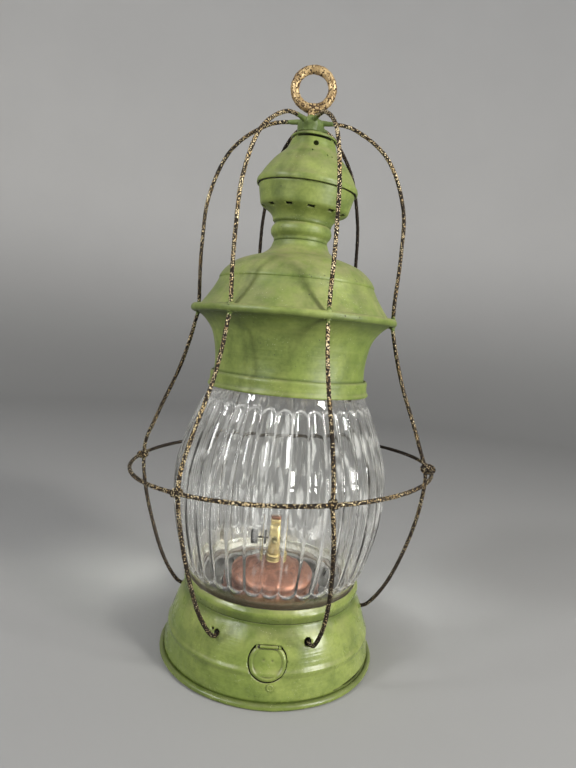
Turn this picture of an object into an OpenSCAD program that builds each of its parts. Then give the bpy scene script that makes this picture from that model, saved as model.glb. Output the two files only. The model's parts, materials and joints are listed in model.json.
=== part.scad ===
// Caged onion-globe oil lantern, millimetres, +Z up.
// The origin is the centre of the rolled base rim, on the surface that it stands on.
// Azimuths are measured from the front (-Y) towards +X.

/* [Globe] */
// Largest outer radius of the glass globe
globe_r = 91.4; // [88:0.2:92]
// Thickness of the glass
glass_t = 3.2; // [2.5:0.1:4]

/* [Sheet metal] */
// Thickness of the spun and rolled sheet
sheet_t = 1.2; // [0.8:0.1:1.4]
// Radius of the rolled rim under the base, at the middle of its bead
rim_r = 91.5; // [91:0.1:92.5]
// Radius of the bead of the rolled rim
rim_bead_r = 2.5; // [2.2:0.1:2.7]

/* [Guard] */
// Radius of the guard wire
wire_r = 1.6; // [1.4:0.1:1.8]
// Radius at which the six wires pass through the hood's brim
brim_hole_r = 84; // [83.5:0.1:84.5]
// Radius of the middle of the round guard hoop
hoop_r = 128; // [124:0.5:132]
// Height of the guard hoop
hoop_z = 167; // [160:1:174]
// Tilt of the guard hoop, which hangs lower on its -X side
hoop_tilt = 3.4; // [0:0.1:3.6]

/* [Hanging eye] */
// Radius of the eye, at the middle of its bar
eye_r = 15.6; // [15:0.1:17]
// Radius of the eye's bar
eye_bar_r = 3.75; // [3.4:0.05:4]
// Radius of the worn flat inside the eye
eye_bore_r = 12.2; // [12.1:0.05:12.4]
// Height of the top of the eye, which is the lantern's height
top_z = 501.5; // [501:0.5:506]

/* [Oil font and burner] */
// Radius of the oil font
font_r = 36; // [34:0.2:36]
// Height of the font's top
font_top_z = 79.6; // [79.4:0.1:80]
// Height of the wick spindle
spindle_z = 99.4; // [99.2:0.2:101]
// Radius of the spiked wheels that lift the wick
spur_r = 3.1; // [2.8:0.1:3.3]

/* [Inspection flap] */
// Radius of the flap in the base skirt
flap_r = 14.2; // [12:0.1:14.4]
// Azimuth of the flap
flap_az = 2; // [0:1:4]

/* [Hidden] */
$fn = 96;

green = [0.56, 0.64, 0.32];
gilt = [0.62, 0.47, 0.22];
brass = [0.72, 0.60, 0.30];
copper = [0.66, 0.38, 0.24];
steel = [0.45, 0.44, 0.42];
glass = [0.85, 0.88, 0.88, 0.35];
felt = [0.35, 0.27, 0.18];

// Azimuth of each wire from the hub down to the hoop, and of its foot in the skirt.
// They were bent by hand, so they are not quite 60 degrees apart.
wire_az = [17, 84, 140, 208, 264, 326];
foot_az = [25, 88, 144, 206, 262, 332];
wire_sides = 8;
wire_steps = 4;
foot_z = 44;
wire_hole_r = wire_r + 0.7;

hub_z = 455;
hub_r = 11;
hub_base_z = 446.8;
hub_web_z = 452.2;
hub_top_z = 460.4;
stem_r = 2.5;
running = 0.08;

brim_z = 294.6;
brim_bead_r = 2.3;
collar_z = 232;
neck_r = 23;
neck_z = 355.6;
vent_slots = 12;
askew_z = 371;
vent_lean = 3.3;
vent_tip = 2;

seat_z = 58;
globe_z = seat_z + 4.2;
floor_z = 10;
plate_t = 1.4;
sleeve_r = 38.6;
spring_count = 3;

tube_w = 12;
tube_d = 5.6;
tube_top_z = 118;
wick_w = 9.4;
wick_t = 2;
collar_r = 9.4;
collar_bore_r = 7.2;
burner_z = font_top_z + 4.2;
spindle_y = -(wick_t / 2 + spur_r + 0.1);
spindle_r = 0.8;
thumb_x = -20;
thumb_r = 6;
thumb_w = 7.6;
case_w = 14;
case_h = 26;
case_z = burner_z + 3;

flap_slope = 21;
flap_gap = 0.8;
flap_centre_r = 84.8;
flap_centre_z = 33.3;
knuckle_r = 1.5;
knuckle_w = 14;
hinge_up = 10.6;
hinge_in = 1.5;
pin_r = 0.8;

// ---------- curves ----------

// One point of the curve through p1 and p2, with p0 and p3 on either side
function curve_point(p0, p1, p2, p3, t) =
    0.5 * (2 * p1 + (p2 - p0) * t + (2 * p0 - 5 * p1 + 4 * p2 - p3) * t * t
    + (3 * p1 - p0 - 3 * p2 + p3) * t * t * t);

// Smooth curve through all the points, with a number of steps between each two
function smooth(pts, steps) = [
    for (i = [0 : len(pts) - 2], s = [0 : steps - 1])
        curve_point(pts[max(i - 1, 0)], pts[i], pts[i + 1], pts[min(i + 2, len(pts) - 1)], s / steps),
    pts[len(pts) - 1]
];

// Direction of an outline at its i-th point
function along(pts, i) =
    let (d = pts[min(i + 1, len(pts) - 1)] - pts[max(i - 1, 0)]) d / norm(d);

// The outline moved to its left by t, listed backwards
function inner_side(pts, t) = [
    for (i = [len(pts) - 1 : -1 : 0])
        let (d = along(pts, i)) pts[i] + t * [-d[1], d[0]]
];

// Spun sheet whose outer side is the outline, listed upwards
module spun(pts, t = sheet_t) {
    rotate_extrude() polygon(concat(pts, inner_side(pts, t)));
}

// Round ring between two radii
module ring(outer_r, inner_r, z, h) {
    translate([0, 0, z]) difference() {
        cylinder(r = outer_r, h = h);
        translate([0, 0, -1]) cylinder(r = inner_r, h = h + 2);
    }
}

// Puts children at a radius, a height and an azimuth, with their -Y outwards
module at(az, r, z) {
    rotate([0, 0, az]) translate([0, -r, z]) children();
}

// ---------- guard wires ----------

// Route of a wire as radius and height, from the hub down to its foot
wire_route = [
    [8, hub_z], [36, hub_z - 3.5], [66, 429], [82, 390], [85, 350],
    [brim_hole_r + 0.3, brim_z + 10], [brim_hole_r, brim_z], [brim_hole_r + 1.6, brim_z - 8],
    [97, 244], [115, 199],
    [hoop_r - 2 * wire_r, hoop_z], [121, 124], [106, 76], [88, foot_z + 3], [74, foot_z]
];

// Azimuth of a wire at a height: it drifts from the hoop down to the foot
function wire_az_at(i, z) =
    let (k = min(max((hoop_z - z) / (hoop_z - foot_z), 0), 1))
    wire_az[i] + (foot_az[i] - wire_az[i]) * k;

function wire_path(i) = [
    for (p = smooth(wire_route, wire_steps))
        let (a = wire_az_at(i, p[1])) [p[0] * sin(a), -p[0] * cos(a), p[1]]
];

// Sweeps a polygon along a path that never runs sideways to its own azimuth
module swept_wire(path, az) {
    n = len(path);
    side = [cos(az), sin(az), 0];
    rings = [
        for (i = [0 : n - 1])
            let (d = along(path, i), u = cross(side, d), v = cross(d, u / norm(u)))
                for (k = [0 : wire_sides - 1])
                    path[i] + wire_r * (cos(360 * k / wire_sides) * u / norm(u)
                    + sin(360 * k / wire_sides) * v)
    ];
    sides = [
        for (i = [0 : n - 2], k = [0 : wire_sides - 1])
            let (a = i * wire_sides + k, b = i * wire_sides + (k + 1) % wire_sides)
                [a, b, b + wire_sides, a + wire_sides]
    ];
    first_cap = [for (k = [wire_sides - 1 : -1 : 0]) k];
    last_cap = [for (k = [0 : wire_sides - 1]) (n - 1) * wire_sides + k];
    polyhedron(rings, concat(sides, [first_cap, last_cap]), convexity = 6);
}

module cage_wire(i) {
    color(gilt) swept_wire(wire_path(i), wire_az[i]);
}

module guard_hoop() {
    color(gilt) translate([0, 0, hoop_z]) rotate([0, -hoop_tilt, 0])
        rotate_extrude() translate([hoop_r, 0]) circle(r = wire_r, $fn = 24);
}

// Binding and solder where each wire crosses the hoop
module hoop_ties() {
    color(gilt) for (az = wire_az) at(az, hoop_r - wire_r, hoop_z + hoop_r * sin(az) * tan(hoop_tilt))
        sphere(r = 2 * wire_r, $fn = 24);
}

// Solder where each wire passes through the brim
module brim_solder() {
    color(green) for (az = wire_az) at(az, brim_hole_r, brim_z + 1.6) sphere(r = 2.8, $fn = 24);
}

// ---------- base ----------

// Rolled rim, cut flat where it stands
module base_hem() {
    color(green) rotate_extrude() difference() {
        translate([rim_r, rim_bead_r - 0.2]) circle(r = rim_bead_r, $fn = 32);
        translate([rim_r - 5, -5]) square([10, 5]);
    }
}

// Frame of the flap: X along its hinge, -Y out of the skirt, Z up the slope
module at_flap() {
    at(flap_az, flap_centre_r, flap_centre_z) rotate([-flap_slope, 0, 0]) children();
}

module base_skirt() {
    skirt_side = concat(
        smooth([[90.6, 5], [89.6, 12], [87.6, 23.6]], 2),
        [[88.6, 24.6], [88.4, 26.4]],
        smooth([[86.9, 27.6], [84.6, 36], [81, 46], [77.4, 53], [74.2, 57.6]], 4));
    color(green) difference() {
        spun(skirt_side);
        for (az = foot_az) at(az, 92, foot_z + 0.8) rotate([-90, 0, 0]) cylinder(r = wire_hole_r, h = 24);
        at_flap() {
            translate([0, -8, 0]) rotate([-90, 0, 0]) cylinder(r = flap_r + flap_gap, h = 20);
            translate([-knuckle_w / 2 - 4, -8, hinge_up - 3]) cube([knuckle_w + 8, 20, 5.4]);
        }
        at(flap_az + 2, 80, 15) rotate([90, 0, 0]) cylinder(r = 1.6, h = 20);
    }
}

module base_collar() {
    color(green) spun(smooth([[74.2, 58.2], [76.4, 61], [77, 64], [75.9, 67], [74.6, 68.8]], 4));
}

// Ledge inside the collar that carries the globe
module globe_seat() {
    color(steel) ring(72.4, 60, seat_z, 2);
}

// Plate across the base with the opening that the font goes through
module base_floor() {
    color(steel) ring(88, sleeve_r, floor_z, sheet_t);
}

module skirt_rivet() {
    color(green) at(flap_az + 2, 0, 15) {
        translate([0, -86, 0]) rotate([90, 0, 0]) cylinder(r = 1.5, h = 4);
        translate([0, -89.9, 0]) rotate([90, 0, 0]) cylinder(r1 = 2.6, r2 = 1.6, h = 1);
    }
}

// ---------- inspection flap ----------

module flap_bracket() {
    ear_x = knuckle_w / 2 + 0.6;
    color(green) at_flap() difference() {
        union() {
            translate([-ear_x - 2, hinge_in + 2.1, hinge_up - 1.6]) cube([2 * ear_x + 4, 1.2, 3.2]);
            for (side = [-1, 1])
                translate([side * (ear_x + 1) - 1, hinge_in - 0.9, hinge_up - 1.4]) cube([2, 3.4, 3]);
        }
        translate([-20, hinge_in, hinge_up]) rotate([0, 90, 0]) cylinder(r = pin_r + 0.02, h = 40);
    }
}

module flap_pin() {
    pin_w = knuckle_w + 5.6;
    color(steel) at_flap() translate([-pin_w / 2, hinge_in, hinge_up])
        rotate([0, 90, 0]) cylinder(r = pin_r, h = pin_w);
}

module inspection_flap() {
    flap_side = smooth([[90, 16], [86.9, 27.6], [84.6, 36], [81, 46]], 3);
    color(green) difference() {
        union() {
            intersection() {
                spun(flap_side);
                at_flap() translate([0, -6, 0]) intersection() {
                    rotate([-90, 0, 0]) cylinder(r = flap_r, h = 12);
                    union() {
                        translate([-20, 0, -20]) cube([40, 12, 20 + hinge_up - 2]);
                        translate([-knuckle_w / 2, 0, -20]) cube([knuckle_w, 12, 20 + hinge_up - 0.6]);
                    }
                }
            }
            at_flap() translate([-knuckle_w / 2, hinge_in, hinge_up])
                rotate([0, 90, 0]) cylinder(r = knuckle_r, h = knuckle_w);
        }
        at_flap() translate([-20, hinge_in, hinge_up]) rotate([0, 90, 0])
            cylinder(r = pin_r + running, h = 40);
    }
}

// ---------- oil font ----------

module font_sleeve() {
    color(steel) ring(sleeve_r + 1, sleeve_r, floor_z + sheet_t + 0.1, 42);
}

// Leaf springs between the sleeve and the font, which hold it up by friction
module font_springs() {
    color(steel) for (i = [0 : spring_count - 1]) rotate([0, 0, 60 + 360 * i / spring_count])
        intersection() {
            ring(sleeve_r - 0.3, font_r + 0.4, 22, 26);
            translate([-4, -60, 0]) cube([8, 60, 100]);
        }
}

// Closed copper tank with two stepped beads, a domed top and an opening for the burner
module font_shell() {
    shoulder_z = font_top_z - 12.6;
    low_bead = shoulder_z - 17;
    high_bead = shoulder_z - 7;
    tank_side = [
        [0, 11.4], [font_r - 1, 11.4], [font_r, 12.4],
        [font_r, low_bead], [font_r - 1.2, low_bead + 1.2],
        [font_r - 1.2, low_bead + 3], [font_r, low_bead + 4.2],
        [font_r, high_bead], [font_r - 1.2, high_bead + 1.2],
        [font_r - 1.2, high_bead + 3], [font_r, high_bead + 4.2],
        [font_r, shoulder_z], [font_r - 1.6, shoulder_z + 2.4],
        [font_r - 12, shoulder_z + 7.4], [collar_bore_r + 6, font_top_z - 1.2], [collar_bore_r, font_top_z]
    ];
    color(copper) spun(tank_side, 1);
}

module font_plate() {
    color(steel) translate([0, 0, floor_z - 0.4 - plate_t]) cylinder(r = 44, h = plate_t);
    color(steel) translate([0, 0, floor_z - 0.4]) cylinder(r = font_r - 2, h = 1.8);
}

module font_knob() {
    knob_h = 5;
    color(brass) translate([0, 0, floor_z - 0.4 - plate_t - knob_h]) difference() {
        rotate_extrude() polygon([[0, 0], [10, 0], [11.5, 1], [11.5, 2.6], [7, 3.6], [7, knob_h], [0, knob_h]]);
        for (i = [0 : 17]) rotate([0, 0, 20 * i]) translate([12.1, 0, -1]) cylinder(r = 1, h = 5);
    }
}

// ---------- burner ----------

// Flat tube outline with rounded edges
module flat_oval(w, d) {
    intersection() {
        circle(r = w / 2);
        square([w, d], center = true);
    }
}

module burner_collar() {
    color(brass) ring(collar_r, collar_bore_r, font_top_z + 0.1, 4);
}

module burner_body() {
    color(brass) difference() {
        union() {
            translate([0, 0, burner_z]) cylinder(r = collar_r - 0.6, h = 1.6);
            translate([0, 0, burner_z + 1.5]) cylinder(r = collar_r - 1.8, h = 1.2);
            translate([0, 0, font_top_z - 1]) cylinder(r = collar_bore_r - 0.2, h = burner_z - font_top_z + 1.2);
        }
        translate([0, 0, font_top_z - 5]) linear_extrude(20) flat_oval(tube_w + 0.2, tube_d + 0.2);
    }
}

module wick_tube() {
    color(brass) difference() {
        translate([0, 0, font_top_z - 4]) linear_extrude(tube_top_z - font_top_z + 4) flat_oval(tube_w, tube_d);
        translate([0, 0, font_top_z - 5]) linear_extrude(60) flat_oval(wick_w + 0.8, wick_t + 0.6);
        translate([-4, -tube_d, spindle_z - spur_r - 0.8]) cube([8, tube_d, 2 * spur_r + 1.6]);
    }
}

// Case in front of the tube that carries the spindle
module gear_case() {
    case_d = 2 * spur_r + 2.4;
    front_y = spindle_y - case_d / 2;
    color(brass) difference() {
        translate([-case_w / 2, front_y, case_z]) cube([case_w, -tube_d / 2 - 0.1 - front_y, case_h]);
        translate([-case_w / 2 + 1, front_y + 0.8, case_z + 1]) cube([case_w - 2, case_d, case_h - 2]);
        translate([-20, spindle_y, spindle_z]) rotate([0, 90, 0]) cylinder(r = spindle_r + running, h = 40);
    }
}

module burner_screw() {
    screw_y = spindle_y - spur_r - 1.2;
    color(brass) difference() {
        translate([0, screw_y - 0.05, spindle_z]) rotate([90, 0, 0]) cylinder(r = 2.8, h = 1.4);
        translate([-4, screw_y - 2, spindle_z - 0.4]) cube([8, 1.2, 0.8]);
    }
}

module wick_spindle() {
    color(steel) translate([thumb_x, spindle_y, spindle_z]) rotate([0, 90, 0])
        cylinder(r = spindle_r, h = case_w / 2 + 0.8 - thumb_x);
}

module spur_wheels() {
    color(steel) for (x = [-2.4, 1.2]) translate([x, spindle_y, spindle_z]) rotate([0, 90, 0])
        ring(spur_r, spindle_r + 0.02, 0, 1.2);
}

module thumb_wheel() {
    color(steel) translate([thumb_x - 0.4, spindle_y, spindle_z]) rotate([0, 90, 0]) difference() {
        cylinder(r = thumb_r, h = thumb_w);
        translate([0, 0, -1]) cylinder(r = spindle_r + 0.02, h = thumb_w + 2);
        for (i = [0 : 23]) rotate([0, 0, 15 * i]) translate([thumb_r + 0.3, 0, -1])
            cylinder(r = 0.6, h = thumb_w + 2);
    }
}

module wick() {
    color(felt) translate([-wick_w / 2, -wick_t / 2, 20]) cube([wick_w, wick_t, tube_top_z - 19]);
}

// ---------- globe ----------

module lower_gasket() {
    color(felt) ring(72, 64, seat_z + 2.1, 1.9);
}

module globe() {
    globe_side = [
        [71.4, globe_z], [73, 70], [81.2, 87], [89.4, 120], [globe_r, 147], [88.8, 173],
        [78, 206], [67, 230], [65, 238]
    ];
    color(glass) spun(smooth(globe_side, 4), glass_t);
}

module upper_gasket() {
    color(felt) ring(65, 61.6, 238.2, 1.6);
}

// ---------- hood ----------

module hood_collar() {
    color(green) spun(concat(
        [[69.8, collar_z], [69.2, collar_z + 1.4], [67.8, collar_z + 2.6]],
        [[67.4, collar_z + 8.6], [68, collar_z + 9.8], [67.6, collar_z + 11.2], [66.4, collar_z + 12.2]]));
}

module hood_skirt() {
    color(green) spun(smooth([[64.9, 240], [64.4, 256], [67.8, 275], [74.4, 285.6], [82.2, brim_z - 2.5]], 4));
}

// Brim with a rolled edge, drilled for the wires
module brim() {
    color(green) difference() {
        rotate_extrude() {
            translate([78, brim_z - 1.4]) square([6, 2]);
            translate([brim_hole_r + 0.9, brim_z]) circle(r = brim_bead_r, $fn = 32);
        }
        for (az = wire_az) at(az, brim_hole_r, brim_z - 10) cylinder(r = wire_r + 0.4, h = 20);
    }
}

module shoulder_shell() {
    color(green) spun(smooth([[81.6, brim_z + 1.4], [75.2, 304.6], [69, 314.4], [65.8, 321]], 4));
}

module dome_shell() {
    color(green) spun(smooth([[66.6, 321.4], [62.6, 328], [54, 335.8], [43, 340.6], [32.6, 344],
        [25.6, 349.4], [neck_r + 0.2, neck_z - 0.2]], 4));
}

// Inner cone that gathers the smoke into the neck
module smoke_cone() {
    color(steel) spun([[56, 322], [17, 352]], 1);
}

module neck_tube() {
    color(green) spun(smooth([[neck_r, neck_z], [neck_r, 358.8], [25.2, 361.4], [25.9, 364.6],
        [25.2, 367.8], [23.2, 370.2], [neck_r, 373.4]], 4));
}

// Puts the ventilator askew on its neck, as it was knocked
module askew() {
    translate([0, 0, askew_z]) rotate([vent_tip, vent_lean, 0]) translate([0, 0, -askew_z]) children();
}

// Flared underside and tapered band of the ventilator, with a ring of draught slots
module vent_band() {
    color(green) askew() difference() {
        spun(concat(
            smooth([[25, 371.6], [25.3, 373.8], [27.4, 377], [31, 379.8], [36, 382.4]], 4),
            [[37.4, 384], [40.8, 399.2]]));
        for (i = [0 : vent_slots - 1]) at(360 * i / vent_slots + 9, 35.4, 374)
            translate([-2.8, 0, 0]) cube([5.6, 3, 10.6]);
    }
}

module vent_cap() {
    hole_z = 433;
    color(green) askew() difference() {
        spun(concat([[42.4, 399.6]], smooth([[42.9, 400.8], [42.5, 403.4], [40.6, 406], [36.8, 412.6],
            [29.4, 423.2], [22.6, 432.2], [18.6, 438.4]], 4)));
        at(6, 30, hole_z) rotate([-90, 0, 0]) cylinder(r = 2.2, h = 25);
        for (az = [0, 26, 34]) at(az, 40, hole_z - 7 - az / 10) rotate([-90, 0, 0]) cylinder(r = 0.7, h = 35);
    }
}

// Straps that hold the crown disc clear of the cap
module crown_legs() {
    color(green) askew() for (az = [60, 180, 300])
        at(az, 16.8, 435.6) translate([-2.5, -0.5, 0]) cube([5, 1, 4.6]);
}

module crown_disc() {
    color(green) askew() rotate_extrude() polygon([[0, 442.4], [14, 441.4], [18.8, 440.2], [19.5, 441],
        [18, 442.4], [9, 445.6], [0, 445.8]]);
}

// Boss that the six wires are soldered into, bored for the eye's stem
module spider_hub() {
    color(green) difference() {
        rotate_extrude() polygon([[0, hub_base_z], [9.4, hub_base_z], [10.4, 450.4], [hub_r, 453.6], [hub_r, 457.4],
            [8, hub_top_z], [0, hub_top_z]]);
        translate([0, 0, hub_base_z - 1]) cylinder(r = 6.6, h = hub_web_z - hub_base_z + 1);
        translate([0, 0, hub_web_z - 1]) cylinder(r = stem_r + running, h = 20);
    }
}

// ---------- hanging eye ----------

module hanging_eye() {
    eye_z = top_z - eye_r - eye_bar_r;
    color(gilt) difference() {
        union() {
            translate([0, 0, eye_z]) rotate([90, 0, 0])
                rotate_extrude() translate([eye_r, 0]) circle(r = eye_bar_r, $fn = 32);
            translate([0, 0, hub_top_z + 0.3]) cylinder(r1 = 4.2, r2 = 3.4, h = eye_z - eye_r - hub_top_z);
            translate([0, 0, hub_web_z - 5.2]) cylinder(r = stem_r, h = hub_top_z - hub_web_z + 6);
        }
        translate([0, 20, eye_z]) rotate([90, 0, 0]) cylinder(r = eye_bore_r, h = 40);
    }
}

module eye_nut() {
    color(gilt) translate([0, 0, hub_web_z - 4.6]) difference() {
        cylinder(r = 5.4, h = 4.2, $fn = 6);
        translate([0, 0, -1]) cylinder(r = stem_r + 0.02, h = 10);
    }
}

base_hem();
base_skirt();
base_collar();
base_floor();
globe_seat();
skirt_rivet();
flap_bracket();
flap_pin();
inspection_flap();
font_sleeve();
font_springs();
font_shell();
font_plate();
font_knob();
burner_collar();
burner_body();
wick_tube();
gear_case();
burner_screw();
wick_spindle();
spur_wheels();
thumb_wheel();
wick();
lower_gasket();
globe();
upper_gasket();
hood_collar();
hood_skirt();
brim();
shoulder_shell();
dome_shell();
smoke_cone();
neck_tube();
vent_band();
vent_cap();
crown_legs();
crown_disc();
spider_hub();
cage_wire(0);  // cage_wire_1
cage_wire(1);  // cage_wire_2
cage_wire(2);  // cage_wire_3
cage_wire(3);  // cage_wire_4
cage_wire(4);  // cage_wire_5
cage_wire(5);  // cage_wire_6
guard_hoop();
hoop_ties();
brim_solder();
hanging_eye();
eye_nut();
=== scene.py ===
"""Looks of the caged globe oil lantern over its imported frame. Metres, +Z up, the front towards -Y.

Azimuths are in degrees from the front towards +X. Outlines and loops are arrays of (radius, height).
"""
import json
import math

import bmesh
import bpy
import numpy as np
from mathutils import Matrix, Vector, noise
from mathutils.bvhtree import BVHTree


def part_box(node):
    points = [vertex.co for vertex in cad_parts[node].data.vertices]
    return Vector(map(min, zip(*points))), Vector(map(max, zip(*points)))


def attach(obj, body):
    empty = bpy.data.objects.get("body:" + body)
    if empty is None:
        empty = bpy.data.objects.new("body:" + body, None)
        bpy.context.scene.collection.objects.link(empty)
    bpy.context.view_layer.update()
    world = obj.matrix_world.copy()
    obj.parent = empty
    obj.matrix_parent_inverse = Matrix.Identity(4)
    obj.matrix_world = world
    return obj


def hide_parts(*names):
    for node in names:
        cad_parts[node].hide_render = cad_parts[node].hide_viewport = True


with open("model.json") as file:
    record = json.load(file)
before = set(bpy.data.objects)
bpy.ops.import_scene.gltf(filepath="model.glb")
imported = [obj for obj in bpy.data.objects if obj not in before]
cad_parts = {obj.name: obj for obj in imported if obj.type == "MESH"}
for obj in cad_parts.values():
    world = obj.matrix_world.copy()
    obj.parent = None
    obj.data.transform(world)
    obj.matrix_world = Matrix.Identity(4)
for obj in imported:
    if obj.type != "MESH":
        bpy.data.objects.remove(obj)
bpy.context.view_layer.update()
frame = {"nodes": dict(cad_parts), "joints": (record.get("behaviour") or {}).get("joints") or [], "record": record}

MM = 0.001
SHEET = 1.2 * MM
WIRE = 1.6 * MM
SEGMENTS = 240
CLEAR_AZIMUTH = 53

WIRE_AZIMUTHS = (17, 84, 140, 208, 264, 326)
FOOT_AZIMUTHS = (25, 88, 144, 206, 262, 332)
# The route of each guard wire, as the CAD has it: radius and height in millimetres, hub to foot
WIRE_ROUTE = (
    (8, 455), (36, 451.5), (66, 429), (82, 390), (85, 350),
    (84.3, 304.6), (84, 294.6), (85.6, 286.6), (97, 244), (115, 199),
    (124.8, 167), (121, 124), (106, 76), (88, 47), (74, 44),
)
FLAP_AZIMUTH = 2
FLAP_RADIUS = 14.2 * MM
FLAP_SLOPE = 21
HINGE_LINE = 9.6 * MM
FLUTES = 38
# Heights in millimetres where the paint is darkened in the folds, valleys, seams and under the brim, painted shade with
# some dirt at the seams, and how far the darkening reaches
FOLD_SHADE_HEIGHTS = ((57.6, 8), (4.6, 2.5), (291, 5), (244.6, 2), (356, 2.5), (371, 3))
# The ventilator leans on its neck, about a point on the axis
ASKEW = (Matrix.Translation((0, 0, 371 * MM)) @ Matrix.Rotation(math.radians(3.3), 4, "Y")
         @ Matrix.Rotation(math.radians(2), 4, "X") @ Matrix.Translation((0, 0, -371 * MM)))

hub_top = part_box("spider_hub")[1].z
brim_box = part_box("brim")
brim_z = (brim_box[0].z + brim_box[1].z) / 2
brim_hole_r = brim_box[1].x - 3.2 * MM
hoop_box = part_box("guard_hoop")
hoop_z = (hoop_box[0].z + hoop_box[1].z) / 2
hoop_r = (hoop_box[1].y - hoop_box[0].y) / 2 - WIRE
hoop_tilt = math.asin(((hoop_box[1].z - hoop_box[0].z) / 2 - WIRE) / hoop_r)
foot_z = WIRE_ROUTE[-1][1] * MM


# ---------- mesh helpers ----------

def outwards(azimuth):
    """Unit vector out of the axis at an azimuth."""
    angle = math.radians(azimuth)
    return Vector((math.sin(angle), -math.cos(angle), 0))


def at(azimuth, radius, height, lean=0):
    """Frame on the side of the lantern: -Y points outwards, X runs along the rim."""
    turn = Matrix.Rotation(math.radians(azimuth), 4, "Z")
    tip = Matrix.Rotation(-math.radians(lean), 4, "X")
    return turn @ Matrix.Translation((0, -radius, height)) @ tip


def grid_faces(rows, columns, close_rows=True):
    """Quads of a grid whose columns run round, and whose rows do too if they are closed."""
    index = np.arange(rows * columns).reshape(rows, columns)
    lower = index if close_rows else index[:-1]
    upper = np.roll(index, -1, axis=0) if close_rows else index[1:]
    quads = np.stack([lower, np.roll(lower, -1, axis=1), np.roll(upper, -1, axis=1), upper], axis=-1)
    return quads.reshape(-1, 4).tolist()


def merged(parts):
    """One vertex and face list from several."""
    verts = []
    faces = []
    for part_verts, part_faces in parts:
        start = len(verts)
        verts.extend(tuple(v) for v in part_verts)
        faces.extend([start + i for i in face] for face in part_faces)
    return verts, faces


def mesh_object(name, shape):
    """Smooth-shaded object from (vertices, faces)."""
    verts, faces = shape
    mesh = bpy.data.meshes.new(name)
    mesh.from_pydata([tuple(v) for v in verts], [], faces)
    mesh.validate()
    mesh.shade_smooth()
    made = bpy.data.objects.new(name, mesh)
    bpy.context.scene.collection.objects.link(made)
    return made


def apply_modifiers(piece):
    """Keeps the modified mesh and drops the modifiers."""
    evaluated = piece.evaluated_get(bpy.context.evaluated_depsgraph_get())
    piece.data = bpy.data.meshes.new_from_object(evaluated)
    piece.modifiers.clear()
    piece.data.shade_smooth()


def face_outwards(mesh):
    """Turns the faces of closed shapes outwards."""
    work = bmesh.new()
    work.from_mesh(mesh)
    bmesh.ops.recalc_face_normals(work, faces=work.faces)
    work.to_mesh(mesh)
    work.free()


def cut(piece, cutter_shapes):
    """Subtracts closed shapes that don't touch each other from a piece."""
    cutter = mesh_object("cutter", merged(cutter_shapes))
    modifier = piece.modifiers.new("cut", "BOOLEAN")
    modifier.operation = "DIFFERENCE"
    modifier.solver = "EXACT"
    modifier.object = cutter
    face_outwards(cutter.data)
    apply_modifiers(piece)
    bpy.data.objects.remove(cutter)


def prism(outline, matrix, depth):
    """Closed prism: an (x, z) outline run along Y through the frame's origin."""
    count = len(outline)
    verts = [matrix @ Vector((x, side * depth / 2, z)) for side in (-1, 1) for x, z in outline]
    sides = [(i, count + i, count + (i + 1) % count, (i + 1) % count) for i in range(count)]
    caps = [tuple(range(count)), tuple(range(count, 2 * count))[::-1]]
    return verts, sides + caps


def round_outline(radius, flat=0.0, count=40):
    """Circle in x and z; flat lifts one side of it, so that it isn't quite round."""
    angles = [2 * math.pi * i / count for i in range(count)]
    return [((radius + flat * math.cos(a - 2)) * math.cos(a), (radius + flat * math.cos(a - 2)) * math.sin(a))
            for a in angles]


def slot_outline(width, height, corner, count=6):
    """Rectangle with round corners in x and z."""
    points = []
    for quarter, (sx, sz) in enumerate(((1, 1), (-1, 1), (-1, -1), (1, -1))):
        for i in range(count + 1):
            a = math.pi / 2 * (quarter + i / count)
            points.append((sx * (width / 2 - corner) + corner * math.cos(a),
                           sz * (height / 2 - corner) + corner * math.sin(a)))
    return points


def dents(angle, height):
    """Unevenness of hand-worked sheet, the same for all the shells, so that their edges still meet."""
    random = np.random.default_rng(11)
    total = 0
    for lobes in (2, 3, 5, 7, 11, 17):
        phase, rise = random.uniform(0, 2 * math.pi), random.uniform(-70, 70)
        total = total + np.cos(lobes * angle + rise * height + phase) / math.sqrt(lobes)
    return 0.11 * MM * total


def smoothed(points, passes=2):
    """Rounds an outline's corners a little, as paint does."""
    points = np.array(points, float)
    for _ in range(passes):
        points[1:-1] = (points[:-2] + 2 * points[1:-1] + points[2:]) / 4
    return points


def resampled(points, step):
    """The same line with its points a step apart."""
    points = np.array(points, float)
    lengths = np.concatenate([[0], np.cumsum(np.linalg.norm(np.diff(points, axis=0), axis=1))])
    places = np.linspace(0, lengths[-1], max(3, round(lengths[-1] / step) + 1))
    return np.stack([np.interp(places, lengths, points[:, k]) for k in range(points.shape[1])], axis=1)


def outline_of(node, step=1.1 * MM, lean=Matrix.Identity(4)):
    """Outer outline of a spun CAD node from its lowest edge to its highest, by rays towards its leaning axis."""
    mesh = frame["nodes"][node].data
    upright = lean.inverted()
    verts = [upright @ v.co for v in mesh.vertices]
    tree = BVHTree.FromPolygons(verts, [tuple(p.vertices) for p in mesh.polygons])
    low, high = min(v.z for v in verts), max(v.z for v in verts)
    out = outwards(CLEAR_AZIMUTH)
    points = []
    for z in np.linspace(low + 0.03 * MM, high - 0.03 * MM, 240):
        hit = tree.ray_cast(0.3 * out + Vector((0, 0, z)), -out)[0]
        points.append((hit.xy.length, z))
    return smoothed(resampled(points, step))


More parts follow.
